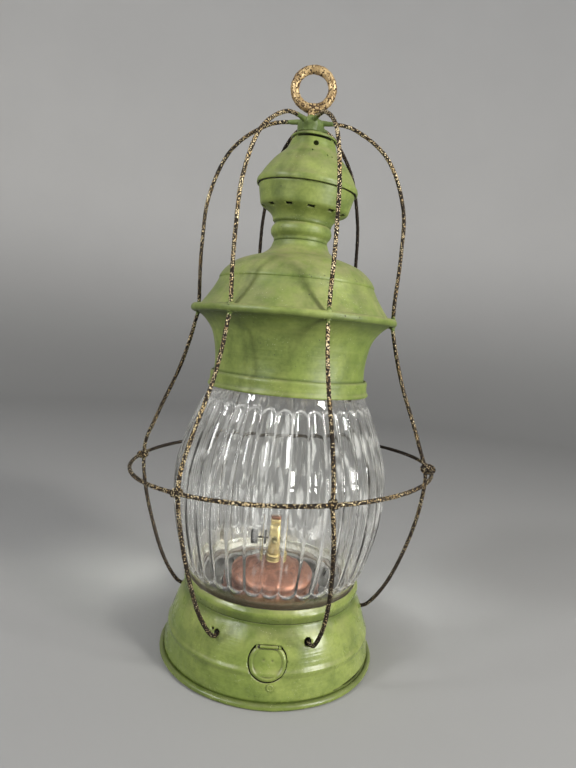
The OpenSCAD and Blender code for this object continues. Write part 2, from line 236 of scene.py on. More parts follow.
def sheet_loop(points, thickness=SHEET):
    """Closed cross-section of a sheet inside an outline, with rounded lips."""
    near_ends = points[[0, -1]] + 0.08 * (points[[1, -2]] - points[[0, -1]])
    points = np.vstack([points[:1], near_ends[:1], points[1:-1], near_ends[1:], points[-1:]])
    along = np.gradient(points, axis=0)
    along /= np.linalg.norm(along, axis=1)[:, None]
    inner = points + thickness * np.stack([-along[:, 1], along[:, 0]], axis=1)
    top = (points[-1] + inner[-1]) / 2 + 0.4 * thickness * along[-1]
    bottom = (points[0] + inner[0]) / 2 - 0.4 * thickness * along[0]
    return np.vstack([points, [top], inner[::-1], [bottom]])


def round_loop(radius, height, bar_r, count=20):
    """Cross-section of a ring of round bar."""
    angle = np.linspace(0, 2 * math.pi, count, endpoint=False)
    return np.stack([radius + bar_r * np.cos(angle), height + bar_r * np.sin(angle)], axis=1)


def turned(loop, uneven=1.0, segments=SEGMENTS):
    """Turns a closed cross-section about the lantern's axis."""
    angle = np.linspace(0, 2 * math.pi, segments, endpoint=False)[None, :]
    radius = loop[:, :1] + uneven * dents(angle, loop[:, 1:])
    height = np.broadcast_to(loop[:, 1:], radius.shape)
    verts = np.stack([radius * np.sin(angle), -radius * np.cos(angle), height], axis=-1)
    return verts.reshape(-1, 3), grid_faces(len(loop), segments)


def swept(path, radii, sides=14, closed=False):
    """Tube of changing radius along a path of points."""
    path = np.array(path, float)
    tangent = np.roll(path, -1, axis=0) - np.roll(path, 1, axis=0) if closed else np.gradient(path, axis=0)
    tangent /= np.linalg.norm(tangent, axis=1)[:, None]
    side = Vector(tangent[0]).orthogonal().normalized()
    verts = []
    for centre, direction, radius in zip(path, tangent, radii):
        direction = Vector(direction)
        side = (side - side.dot(direction) * direction).normalized()
        other = direction.cross(side)
        for k in range(sides):
            a = 2 * math.pi * k / sides
            verts.append(Vector(centre) + radius * (math.cos(a) * side + math.sin(a) * other))
    faces = grid_faces(len(path), sides, close_rows=closed)
    if not closed:
        faces.append(list(range(sides))[::-1])
        faces.append(list(range(len(verts) - sides, len(verts))))
    return verts, faces


def roughened(shape, depth, scale, seed=0.0):
    """Pushes each vertex by noise, for pitted and lumpy metal."""
    verts, faces = shape
    shift = Vector((seed, 2 * seed, -seed))
    moved = [Vector(v) + depth * noise.noise_vector(scale * Vector(v) + shift) for v in verts]
    return moved, faces


def blob(centre, size, matrix=None, lumps=0.18, seed=0.0, rings=14, sides=20):
    """Lumpy drop of solder or metal, of half-axes size."""
    turn = (matrix or Matrix.Identity(4)).to_3x3()
    verts = []
    for i in range(rings + 1):
        tall = math.pi * (0.02 + 0.96 * i / rings)
        for k in range(sides):
            a = 2 * math.pi * k / sides
            unit = Vector((math.sin(tall) * math.cos(a), math.sin(tall) * math.sin(a), math.cos(tall)))
            grow = 1 + lumps * noise.noise(2.3 * unit + Vector((seed, seed, 0)))
            verts.append(Vector(centre) + turn @ Vector(u * s * grow for u, s in zip(unit, size)))
    faces = [face[::-1] for face in grid_faces(rings + 1, sides, close_rows=False)]
    faces.append(list(range(sides)))
    faces.append(list(range(rings * sides, (rings + 1) * sides))[::-1])
    return verts, faces


def smooth_curve(points, steps):
    """Catmull-Rom curve through the points."""
    points = np.array(points, float)
    padded = np.vstack([points[:1], points, points[-1:]])
    curve = []
    for p0, p1, p2, p3 in zip(padded, padded[1:], padded[2:], padded[3:]):
        for t in np.linspace(0, 1, steps, endpoint=False):
            curve.append(0.5 * (2 * p1 + (p2 - p0) * t + (2 * p0 - 5 * p1 + 4 * p2 - p3) * t * t
                                + (3 * p1 - p0 - 3 * p2 + p3) * t ** 3))
    return np.array(curve + [points[-1]])


# ---------- material helpers ----------

class Recipe:
    """A material under construction: its node tree and its Principled shader."""

    def __init__(self, name):
        self.material = bpy.data.materials.new(name)
        self.material.use_nodes = True
        self.tree = self.material.node_tree
        self.shader = self.tree.nodes["Principled BSDF"]
        self.place = self.node("ShaderNodeTexCoord").outputs["Object"]

    def node(self, kind, inputs=None, **settings):
        made = self.tree.nodes.new(kind)
        for key, value in settings.items():
            setattr(made, key, value)
        for key, value in (inputs or {}).items():
            self.put(made.inputs[key], value)
        return made

    def put(self, socket, value):
        """Links a socket, or sets its constant."""
        if isinstance(value, bpy.types.NodeSocket):
            self.tree.links.new(value, socket)
        else:
            socket.default_value = value

    def noise(self, scale, detail=3, stretch=(1, 1, 1), shift=0.0, roughness=0.55):
        """Noise from 0 to 1 at a scale per metre."""
        moved = self.node("ShaderNodeMapping", {"Vector": self.place, "Scale": stretch,
                                                "Location": (shift, shift, shift)})
        made = self.node("ShaderNodeTexNoise", {"Vector": moved.outputs[0], "Scale": scale, "Detail": detail,
                                                "Roughness": roughness})
        return made.outputs["Fac"]

    def cells(self, scale):
        """Distance to the nearest of scattered points, in cells."""
        return self.node("ShaderNodeTexVoronoi", {"Vector": self.place, "Scale": scale}).outputs["Distance"]

    def band(self, value, low, high):
        """0 below low, 1 above high, smooth between them; low may be above high."""
        made = self.node("ShaderNodeMapRange", {"Value": value, "From Min": low, "From Max": high},
                         interpolation_type="SMOOTHSTEP")
        return made.outputs["Result"]

    def math(self, operation, a, b=0.0):
        made = self.node("ShaderNodeMath", operation=operation)
        self.put(made.inputs[0], a)
        self.put(made.inputs[1], b)
        return made.outputs[0]

    def blend(self, factor, a, b):
        """Mix of two colours."""
        made = self.node("ShaderNodeMix", data_type="RGBA")
        self.put(made.inputs[0], factor)
        self.put(made.inputs[6], a if isinstance(a, bpy.types.NodeSocket) else (*a, 1))
        self.put(made.inputs[7], b if isinstance(b, bpy.types.NodeSocket) else (*b, 1))
        return made.outputs[2]

    def level(self, factor, a, b):
        """Mix of two numbers."""
        made = self.node("ShaderNodeMix", data_type="FLOAT")
        self.put(made.inputs[0], factor)
        self.put(made.inputs[2], a)
        self.put(made.inputs[3], b)
        return made.outputs[0]

    def bumps(self, *layers):
        """Stacks (height, depth in metres) layers into the shader's normal."""
        normal = None
        for height, depth in layers:
            inputs = {"Height": height, "Distance": depth, "Strength": 1.0}
            if normal is not None:
                inputs["Normal"] = normal
            normal = self.node("ShaderNodeBump", inputs).outputs[0]
        self.put(self.shader.inputs["Normal"], normal)

    def axis_distance(self):
        """Distance from the lantern's axis, and the height."""
        parts = self.node("ShaderNodeSeparateXYZ", {"Vector": self.place})
        flat = self.node("ShaderNodeCombineXYZ", {"X": parts.outputs[0], "Y": parts.outputs[1]})
        length = self.node("ShaderNodeVectorMath", {0: flat.outputs[0]}, operation="LENGTH")
        return length.outputs["Value"], parts.outputs[2]


def green_paint(name, light, mid, deep, dust, lined=True):
    """Old satin green paint: patchy, brushed round, dusty on top, chipped at the edges, dark in the folds with painted
    shade and some dirt.

    A lined shell is bare dark metal on the side that faces the axis.
    """
    r = Recipe(name)
    patches = r.band(r.noise(16, 4), 0.36, 0.66)
    drift = r.band(r.noise(55, 3, shift=4), 0.35, 0.7)
    streaks = r.noise(35, 3, stretch=(0.5, 0.5, 9), shift=2)
    colour = r.blend(patches, mid, light)
    grain = r.band(r.noise(420, 3, shift=15), 0.35, 0.7)
    colour = r.blend(r.math("ADD", r.math("MULTIPLY", drift, 0.45), r.math("MULTIPLY", grain, 0.2)), colour, deep)
    colour = r.blend(r.math("MULTIPLY", r.band(streaks, 0.5, 0.75), 0.22), colour, light)
    up = r.node("ShaderNodeSeparateXYZ", {"Vector": r.node("ShaderNodeNewGeometry").outputs["Normal"]}).outputs[2]
    dusty = r.math("MULTIPLY", r.band(up, 0.15, 0.9), r.band(r.noise(90, 5, shift=7), 0.25, 0.7))
    dusty = r.math("MULTIPLY", dusty, dust)
    colour = r.blend(dusty, colour, (0.27, 0.25, 0.12))
    bend = r.node("ShaderNodeNewGeometry").outputs["Pointiness"]
    # Concave creases are darkened: painted shade, with some dirt.
    folds = r.math("MULTIPLY", r.band(bend, 0.497, 0.470), r.band(r.noise(120, 3, shift=9), 0.2, 0.6))
    colour = r.blend(r.math("MULTIPLY", folds, 0.75), colour, (0.060, 0.062, 0.022))
    _, height = r.axis_distance()
    # Darker green bands round the listed fold heights: painted shade, with some dirt at the seams.
    for fold, reach in FOLD_SHADE_HEIGHTS:
        away = r.math("ABSOLUTE", r.math("SUBTRACT", height, fold * MM))
        shaded = r.math("MULTIPLY", r.band(away, reach * MM, 0.0), r.level(r.noise(50, 3, shift=fold), 0.5, 1.0))
        colour = r.blend(r.math("MULTIPLY", shaded, 0.8), colour, (0.055, 0.085, 0.014))
    edges = r.math("MULTIPLY", r.band(bend, 0.53, 0.58), r.band(r.noise(110, 5, shift=3), 0.58, 0.66))
    specks = r.math("MULTIPLY", r.band(r.cells(210), 0.11, 0.06), r.band(r.noise(45, 2, shift=12), 0.56, 0.62))
    bare = r.math("MAXIMUM", edges, specks)
    colour = r.blend(bare, colour, (0.045, 0.035, 0.022))
    lint = r.math("MULTIPLY", r.band(r.cells(520), 0.16, 0.08), r.band(r.noise(60, 2, shift=21), 0.5, 0.62))
    colour = r.blend(r.math("MULTIPLY", lint, 0.6), colour, (0.62, 0.62, 0.42))
    if lined:
        flat_place = r.node("ShaderNodeVectorMath", {0: r.place, 1: (1, 1, 0)}, operation="MULTIPLY")
        facing = r.node("ShaderNodeVectorMath", {0: flat_place.outputs[0]}, operation="NORMALIZE")
        turn = r.node("ShaderNodeVectorMath", {0: facing.outputs[0], 1: r.node("ShaderNodeNewGeometry").outputs["Normal"]},
                      operation="DOT_PRODUCT")
        colour = r.blend(r.band(turn.outputs["Value"], -0.35, -0.55), colour, (0.32, 0.315, 0.29))
    r.put(r.shader.inputs["Base Color"], colour)
    rough = r.math("ADD", r.level(r.noise(70, 4, shift=5), 0.18, 0.36), r.math("MULTIPLY", r.band(height, 0.1, 0.3), 0.2))
    r.put(r.shader.inputs["Roughness"], r.level(r.math("MAXIMUM", bare, dusty), rough, 0.6))
    r.bumps((bare, -0.15 * MM), (r.noise(320, 3), 0.08 * MM), (streaks, 0.25 * MM), (r.noise(60, 2), 0.7 * MM),
            (r.noise(26, 2, shift=6), 1.6 * MM))
    return r.material


def gilt_iron(name, grain, gold_share, drift, gold, iron):
    """Gilt left in spots over dark iron, with green overspray near the hub and the brim, and less gilt on the back
    half, a painted shade.

    The spots are grain per metre; drift is how unevenly they lie; gold and iron are dark and light colours.
    """
    r = Recipe(name)
    radius, height = r.axis_distance()
    parts = r.node("ShaderNodeSeparateXYZ", {"Vector": r.place})
    side = r.band(r.math("ABSOLUTE", parts.outputs[0]), 62 * MM, 105 * MM)
    low_down = r.band(height, hoop_z, 0.11)
    # The back half loses gilt and so looks darker: painted shade; at the sides and low down it is lost as wear.
    shaded_back = r.band(parts.outputs[1], 10 * MM, 50 * MM)
    wear_and_back_shade = r.math("ADD", r.math("MULTIPLY", side, 0.05), r.math("MULTIPLY", low_down, 0.10))
    wear_and_back_shade = r.math("MULTIPLY", r.math("ADD", wear_and_back_shade, r.math("MULTIPLY", shaded_back, 0.2)), 2.5 * drift)
    uneven = r.math("MULTIPLY", r.math("SUBTRACT", r.noise(24, 3), 0.5), drift)
    reach = r.math("SUBTRACT", r.math("ADD", uneven, gold_share), wear_and_back_shade)
    spots = r.math("ADD", r.cells(grain), r.math("MULTIPLY", r.math("SUBTRACT", r.noise(1300, 3), 0.5), 0.5))
    gilt = r.band(r.math("SUBTRACT", spots, reach), 0.03, -0.03)
    gold = r.blend(r.band(r.noise(160, 3, shift=3), 0.3, 0.7), *gold)
    iron = r.blend(r.noise(300, 3, shift=8), *iron)
    near_hub = r.math("MULTIPLY", r.band(radius, 24 * MM, 14 * MM), r.band(height, 0.43, 0.44))
    near_hub = r.math("MULTIPLY", near_hub, r.band(height, hub_top + 0.6 * MM, hub_top - 0.6 * MM))
    near_brim = r.band(r.math("ABSOLUTE", r.math("SUBTRACT", height, brim_z)), 8 * MM, 3 * MM)
    spray = r.math("MULTIPLY", r.math("MAXIMUM", near_hub, near_brim), r.band(r.noise(260, 3, shift=5), 0.34, 0.5))
    colour = r.blend(gilt, iron, gold)
    colour = r.blend(spray, colour, (0.13, 0.20, 0.045))
    r.put(r.shader.inputs["Base Color"], colour)
    shine = r.math("MULTIPLY", gilt, r.math("SUBTRACT", 1.0, spray))
    r.put(r.shader.inputs["Metallic"], r.math("MULTIPLY", shine, 0.4))
    r.put(r.shader.inputs["Roughness"], r.level(gilt, 0.7, 0.42))
    r.put(r.shader.inputs["Specular IOR Level"], r.level(gilt, 0.15, 0.5))
    r.bumps((gilt, 0.22 * MM), (r.noise(900, 3), 0.15 * MM))
    return r.material


def clear_glass():
    """Old pressed glass, faintly grey, with dirt near its ends; light and dark streaks along its flutes are painted
    highlights and painted shade, and a dark film across the front of its bottom is painted shade with some dirt.
    """
    r = Recipe("glass")
    r.shader.inputs["Base Color"].default_value = (0.985, 0.99, 0.98, 1)
    r.shader.inputs["Transmission Weight"].default_value = 1.0
    r.shader.inputs["IOR"].default_value = 1.5
    smears = r.band(r.noise(45, 4, stretch=(1, 1, 0.5)), 0.5, 0.8)
    r.put(r.shader.inputs["Roughness"], r.level(smears, 0.015, 0.09))
    r.bumps((r.noise(40, 2), 0.25 * MM), (r.noise(9, 1), 1.2 * MM))
    _, height = r.axis_distance()
    low, high = (corner.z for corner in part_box("globe"))
    ends = r.math("MAXIMUM", r.band(height, low + 22 * MM, low + 4 * MM), r.band(height, high - 14 * MM, high))
    # The lowest band of the globe's front half takes a dark film: painted shade of the dark inside, with some dirt at
    # the seam.
    foot = r.band(height, low + 15 * MM, low + 9 * MM)
    share = r.math("ADD", r.math("MULTIPLY", ends, 0.4), 0.02)
    dirt = r.math("MULTIPLY", r.band(r.noise(150, 5, shift=3), 0.4, 0.7), share)
    depth = r.node("ShaderNodeSeparateXYZ", {"Vector": r.place}).outputs[1]
    foot = r.math("MULTIPLY", foot, r.band(depth, 0.0, -40 * MM))
    dirt = r.math("MAXIMUM", dirt, r.math("MULTIPLY", foot, r.level(r.noise(120, 4, shift=8), 0.3, 0.85)))
    dirt_and_shade_colour = r.blend(foot, (0.42, 0.38, 0.28), (0.10, 0.085, 0.055))
    film = r.node("ShaderNodeBsdfDiffuse", {"Color": dirt_and_shade_colour})
    dirt_and_painted_light = r.node("ShaderNodeMixShader", {0: dirt, 1: r.shader.outputs[0], 2: film.outputs[0]})

    parts = r.node("ShaderNodeSeparateXYZ", {"Vector": r.place})
    angle = r.math("ARCTAN2", parts.outputs[0], r.math("MULTIPLY", parts.outputs[1], -1.0))
    turn = r.math("ADD", r.math("MULTIPLY", angle, FLUTES / (2 * math.pi)), 0.5)
    from_ridge = r.math("ABSOLUTE", r.math("SUBTRACT", r.math("FRACT", r.math("ADD", turn, FLUTES + 0.5)), 0.5))
    fluted = r.math("MULTIPLY", r.band(height, low + 17 * MM, low + 27 * MM), r.band(height, high - 15 * MM, high - 23 * MM))
    along = r.node("ShaderNodeCombineXYZ", {"X": turn, "Z": r.math("MULTIPLY", height, 22.0)})
    def streaks(scale, shift):
        place = r.node("ShaderNodeMapping", {"Vector": along.outputs[0], "Location": (shift, shift, 0)})
        return r.node("ShaderNodeTexNoise", {"Vector": place.outputs[0], "Scale": scale, "Detail": 3}).outputs["Fac"]
    # Light streaks on the ridges and flanks, and light arches at the flute ends, are painted highlights; dark streaks
    # on the flanks are painted shade.
    ridge = r.math("MULTIPLY", r.band(from_ridge, 0.07, 0.02), r.band(streaks(1.6, 3.0), 0.40, 0.62))
    from_middle = r.math("SUBTRACT", 1.0, r.math("MULTIPLY", from_ridge, 2.0))
    chord = r.math("SQRT", r.math("SUBTRACT", 1.001, r.math("MULTIPLY", from_middle, from_middle)))
    rise = r.math("MULTIPLY", r.math("SUBTRACT", 1.0, chord), 6.5 * MM)
    lower_arch = r.math("ABSOLUTE", r.math("SUBTRACT", height, r.math("ADD", rise, low + 18 * MM)))
    upper_arch = r.math("ABSOLUTE", r.math("SUBTRACT", height, r.math("SUBTRACT", high - 16 * MM, rise)))
    arches = r.band(r.math("MINIMUM", lower_arch, upper_arch), 1.1 * MM, 0.3 * MM)
    flank = r.math("MULTIPLY", r.band(streaks(2.6, 9.0), 0.54, 0.66), r.band(from_ridge, 0.05, 0.22))
    painted_highlight = r.math("MULTIPLY", fluted, r.math("ADD", r.math("MULTIPLY", ridge, 0.27), r.math("MULTIPLY", flank, 0.2)))
    painted_highlight = r.math("MULTIPLY", painted_highlight, r.level(r.band(height, low + 40 * MM, low + 80 * MM), 0.45, 1.0))
    painted_highlight = r.math("MAXIMUM", painted_highlight, r.math("MULTIPLY", arches, r.level(r.noise(80, 3, shift=31), 0.0, 0.4)))
    shade = r.math("MULTIPLY", r.band(from_ridge, 0.10, 0.15), r.band(from_ridge, 0.24, 0.17))
    shade = r.math("MULTIPLY", fluted, r.math("MULTIPLY", shade, r.band(streaks(1.3, 17.0), 0.48, 0.66)))
    painted_streak_highlight = r.node("ShaderNodeBsdfDiffuse", {"Color": (0.80, 0.80, 0.77, 1)})
    painted_streak_shade = r.node("ShaderNodeBsdfDiffuse", {"Color": (0.06, 0.055, 0.045, 1)})
    dirt_and_painted_light = r.node("ShaderNodeMixShader", {0: painted_highlight, 1: dirt_and_painted_light.outputs[0], 2: painted_streak_highlight.outputs[0]})
    dirt_and_painted_light = r.node("ShaderNodeMixShader", {0: r.math("MULTIPLY", shade, 0.22), 1: dirt_and_painted_light.outputs[0], 2: painted_streak_shade.outputs[0]})
    clear = r.node("ShaderNodeBsdfTransparent", {"Color": (0.93, 0.94, 0.93, 1)})
    shadow = r.node("ShaderNodeLightPath").outputs["Is Shadow Ray"]
    mixed = r.node("ShaderNodeMixShader", {0: shadow, 1: dirt_and_painted_light.outputs[0], 2: clear.outputs[0]})
    r.put(r.tree.nodes["Material Output"].inputs["Surface"], mixed.outputs[0])
    return r.material


def aged_metal(name, bright, dull, dirt, roughness, rings=1.0):
    """Bare metal with tarnish in patches, dirt in its folds and fine turning marks."""
    r = Recipe(name)
    patches = r.band(r.noise(60, 4), 0.38, 0.62)
    colour = r.blend(patches, bright, dull)
    bend = r.node("ShaderNodeNewGeometry").outputs["Pointiness"]
    marks = r.noise(40, 3, stretch=(0.6, 0.6, 22), shift=3)
    stains = r.math("MAXIMUM", r.band(bend, 0.495, 0.46), r.band(r.noise(130, 4, shift=6), 0.58, 0.72))
    colour = r.blend(r.math("MULTIPLY", stains, 0.8), colour, dirt)
    colour = r.blend(r.math("MULTIPLY", r.band(marks, 0.45, 0.7), 0.35), colour, dirt)
    r.put(r.shader.inputs["Base Color"], colour)
    r.shader.inputs["Metallic"].default_value = 0.85
    r.put(r.shader.inputs["Roughness"], r.level(r.math("MAXIMUM", patches, stains), roughness, roughness + 0.3))
    r.bumps((marks, 0.12 * rings * MM), (r.noise(420, 3), 0.07 * MM))
    return r.material


def fibre(name, light, dark, weave):
    """Twisted or woven fibre, with a soft nap."""
    r = Recipe(name)
    threads = r.node("ShaderNodeTexWave", {"Vector": r.place, "Scale": weave, "Distortion": 1.5, "Detail": 2.0},
                     bands_direction="DIAGONAL").outputs["Fac"]
    r.put(r.shader.inputs["Base Color"], r.blend(r.math("MULTIPLY", threads, r.noise(200, 3)), dark, light))
    r.shader.inputs["Roughness"].default_value = 0.95
    r.shader.inputs["Sheen Weight"].default_value = 0.3
    r.bumps((threads, 0.3 * MM), (r.noise(700, 3), 0.15 * MM))
    return r.material


MATERIALS = {
    "green_paint": green_paint("green_paint", (0.25, 0.30, 0.075), (0.165, 0.22, 0.043), (0.055, 0.09, 0.014), 0.65),
    "gilt_wire": gilt_iron("gilt_wire", 760, 0.38, 0.5, ((0.45, 0.30, 0.12), (0.95, 0.80, 0.50)),
                           ((0.008, 0.007, 0.006), (0.030, 0.020, 0.013))),
    "dark_steel": aged_metal("dark_steel", (0.12, 0.113, 0.107), (0.05, 0.04, 0.033), (0.02, 0.015, 0.01), 0.42),
    "brass": aged_metal("brass", (0.66, 0.55, 0.28), (0.36, 0.29, 0.13), (0.08, 0.055, 0.025), 0.3),
    "copper": aged_metal("copper", (0.36, 0.17, 0.11), (0.18, 0.08, 0.055), (0.05, 0.025, 0.016), 0.45, rings=2.0),
    "glass": clear_glass(),
    "felt": fibre("felt", (0.20, 0.15, 0.09), (0.06, 0.045, 0.03), 500),
    "wick_cotton": fibre("wick_cotton", (0.34, 0.28, 0.20), (0.07, 0.05, 0.04), 420),
}
SOLID_PAINT = green_paint("solid_paint", (0.25, 0.30, 0.075), (0.17, 0.22, 0.043), (0.055, 0.09, 0.014), 0.6, lined=False)
HUB_PAINT = green_paint("hub_paint", (0.20, 0.26, 0.07), (0.095, 0.14, 0.033), (0.04, 0.062, 0.015), 0.3, lined=False)
EYE_GILT = gilt_iron("eye_gilt", 700, 0.63, 0.7, ((0.24, 0.15, 0.06), (0.66, 0.48, 0.24)),
                      ((0.03, 0.02, 0.012), (0.09, 0.055, 0.03)))
SEAT_TIN = aged_metal("seat_tin", (0.50, 0.50, 0.48), (0.34, 0.33, 0.31), (0.14, 0.13, 0.11), 0.45)
BLACK_KNURL = aged_metal("black_knurl", (0.022, 0.02, 0.018), (0.012, 0.011, 0.01), (0.006, 0.005, 0.004), 0.6)
DULL_BRASS = aged_metal("dull_brass", (0.30, 0.27, 0.13), (0.14, 0.12, 0.06), (0.04, 0.03, 0.015), 0.35)
CHARRED_BRASS = aged_metal("charred_brass", (0.24, 0.10, 0.06), (0.10, 0.045, 0.03), (0.03, 0.015, 0.01), 0.4)


def add_piece(name, shape, slot, nodes=(), body="lantern", material=None):
    """A detailed piece that rides on a body and stands for CAD nodes."""
    made = mesh_object(name, shape) if isinstance(shape, tuple) else shape
    made.name = name
    made.data.materials.clear()
    made.data.materials.append(material or MATERIALS[slot])
    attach(made, body)
    if nodes:
        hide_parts(*nodes)
    return made


# ---------- hood ----------

def vent_slots(count=12, first=9):
    """Cutters for the draught slots under the vent band."""
    return [prism(slot_outline(5.8 * MM, 9 * MM, 1.0 * MM), at(first + i * 360 / count, 33.9 * MM, 380 * MM), 3.4 * MM)
            for i in range(count)]


def make_hood():
    """Spun shells of the hood and the ventilator."""
    for node in ("hood_collar", "shoulder_shell", "dome_shell"):
        add_piece(node + "_spun", turned(sheet_loop(outline_of(node))), "green_paint", [node])

    skirt = outline_of("hood_skirt")
    under_brim = [(brim_hole_r - 0.6 * MM, brim_z - 1.2 * MM)]
    skirt = smoothed(np.vstack([skirt, under_brim]), 1)
    add_piece("hood_skirt_spun", turned(sheet_loop(skirt)), "green_paint", ["hood_skirt"])

    edge = round_loop(brim_hole_r + 0.7 * MM, brim_z, 2.6 * MM)
    edge[:, 1] += 0.25 * (edge[:, 1] - brim_z)
    flange = sheet_loop(np.array([(brim_hole_r - 0.8 * MM, brim_z - 1.5 * MM), (brim_hole_r + 1.2 * MM, brim_z),
                                  (brim_hole_r - 0.8 * MM, brim_z + 1.8 * MM), (brim_hole_r - 5 * MM, brim_z + 4 * MM)]))
    rolled = merged([turned(edge), turned(flange)])
    add_piece("rolled_brim", roughened(rolled, 0.35 * MM, 110), "green_paint", ["brim"], material=SOLID_PAINT)

    neck = resampled(outline_of("neck_tube", 0.7 * MM), 0.7 * MM)
    add_piece("neck_beaded", turned(sheet_loop(neck, 1.0 * MM)), "green_paint", ["neck_tube"])

    side = outline_of("vent_band", 0.8 * MM, ASKEW)
    onto_neck = [(side[0, 0] - 1.6 * MM, side[0, 1] - 1.4 * MM), (side[0, 0] - 0.7 * MM, side[0, 1] - 0.6 * MM)]
    band = mesh_object("vent_band_slotted", turned(sheet_loop(np.vstack([onto_neck, side]))))
    cut(band, vent_slots())
    cap_outline = outline_of("vent_cap", 1.0 * MM, ASKEW)
    waist = np.exp(-((cap_outline[:, 1] - 430 * MM) / (6 * MM)) ** 2)
    cap_outline[:, 0] -= 2.3 * MM * waist
    cap = mesh_object("vent_cap_drilled", turned(sheet_loop(cap_outline)))
    hole_z = 433 * MM
    pin_holes = [prism(round_outline(0.7 * MM, count=16), at(a, 28 * MM, hole_z - (7 + a / 10) * MM), 20 * MM)
                 for a in (0, 26, 34)]
    cut(cap, [prism(round_outline(2.2 * MM), at(6, 22 * MM, hole_z), 14 * MM)] + pin_holes)
    crown = smoothed(outline_of("crown_disc", 0.5 * MM, ASKEW))
    disc = mesh_object("crown_disc_pressed", turned(sheet_loop(crown, 1.0 * MM)))
    for piece, node in ((band, "vent_band"), (cap, "vent_cap"), (disc, "crown_disc")):
        piece.data.transform(ASKEW)
        add_piece(piece.name, piece, "green_paint", [node])


# ---------- base ----------

def foot_holes():
    """Cutters for the holes that the wires' feet go through, the first one wider and shifted, and a stray one beside
    them.
    """
    holes = [prism(round_outline(WIRE + 1.0 * MM, 0.4 * MM), at(a, 80 * MM, foot_z + 1.2 * MM, 8), 16 * MM)
             for a in FOOT_AZIMUTHS]
    holes.append(prism(round_outline(1.1 * MM, count=20), at(FOOT_AZIMUTHS[5] - 3.2, 80 * MM, foot_z + 3.4 * MM), 16 * MM))
    holes[0] = prism(round_outline(3.2 * MM, 0.4 * MM), at(FOOT_AZIMUTHS[0] - 1.2, 80 * MM, foot_z + 1.6 * MM, 8), 16 * MM)
    return holes


def flap_frame():
    """Frame of the flap's middle: X along its hinge, -Y out of the skirt."""
    return at(FLAP_AZIMUTH, 84.8 * MM, 33.3 * MM, FLAP_SLOPE)


def soft_valley(lower, upper, reach=14):
    """Rounds the valley where one spun part runs into the next."""
    inside = reach // 2
    soft = smoothed(np.vstack([lower[-reach:], upper[:inside]]), 12)
    return np.vstack([lower[:-reach], soft[:reach]]), np.vstack([soft[reach:], upper[inside:]])


def hem_gap(skirt_side, start, end, radius):
    """Cutter for a stretch where the skirt has come away from its hem, widest in the middle."""
    share = np.linspace(0, 1, 24)
    height = 6.3 * MM
    reach = np.interp(height, skirt_side[:, 1], skirt_side[:, 0]) - 0.4 * MM
    path = [reach * outwards(start + s * (end - start)) + Vector((0, 0, height)) for s in share]
    return swept(path, [radius * (0.25 + 0.75 * math.sin(math.pi * s)) for s in share], 10)


def make_base():
    """Skirt, collar, rolled rim and rivet."""
    skirt_side, collar_side = soft_valley(outline_of("base_skirt"), outline_of("base_collar"))
    into_hem = [(skirt_side[0, 0] + 0.5 * MM, 3.9 * MM)]
    skirt = mesh_object("base_skirt_spun", turned(sheet_loop(np.vstack([into_hem, skirt_side]))))
    gap = [(x, min(z, HINGE_LINE + 2.7 * MM)) for x, z in round_outline(FLAP_RADIUS + 0.8 * MM, 0.4 * MM, 120)]
    cutters = foot_holes() + [prism(gap, flap_frame(), 16 * MM)]
    cutters += [hem_gap(skirt_side, 38, 82, 2.1 * MM), hem_gap(skirt_side, -84, -68, 1.8 * MM)]
    cut(skirt, cutters)
    add_piece("base_skirt_spun", skirt, "green_paint", ["base_skirt"])

    add_piece("base_collar_spun", turned(sheet_loop(collar_side)), "green_paint", ["base_collar"])

    low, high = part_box("base_hem")
    bead = round_loop(high.x - 2.5 * MM, low.z + 2.4 * MM, 2.4 * MM)
    verts, faces = roughened(turned(bead, 0.6), 0.25 * MM, 140)
    verts = [(v[0], v[1], max(v[2], low.z)) for v in verts]
    add_piece("rolled_rim", (verts, faces), "green_paint", ["base_hem"], material=SOLID_PAINT)

    rivet = at(FLAP_AZIMUTH + 2, 89.2 * MM, 16 * MM, 5)
    ring = [rivet @ Vector((2.1 * MM * math.cos(a), 0, 2.1 * MM * math.sin(a)))
            for a in np.linspace(0, 2 * math.pi, 40, endpoint=False)]
    head = merged([swept(ring, [0.75 * MM] * 40, 12, True),
                   blob(rivet.translation, (1.9 * MM, 0.5 * MM, 1.9 * MM), rivet, 0.12, 3.0)])
    add_piece("skirt_rivet_head", head, "green_paint", ["skirt_rivet"], material=SOLID_PAINT)


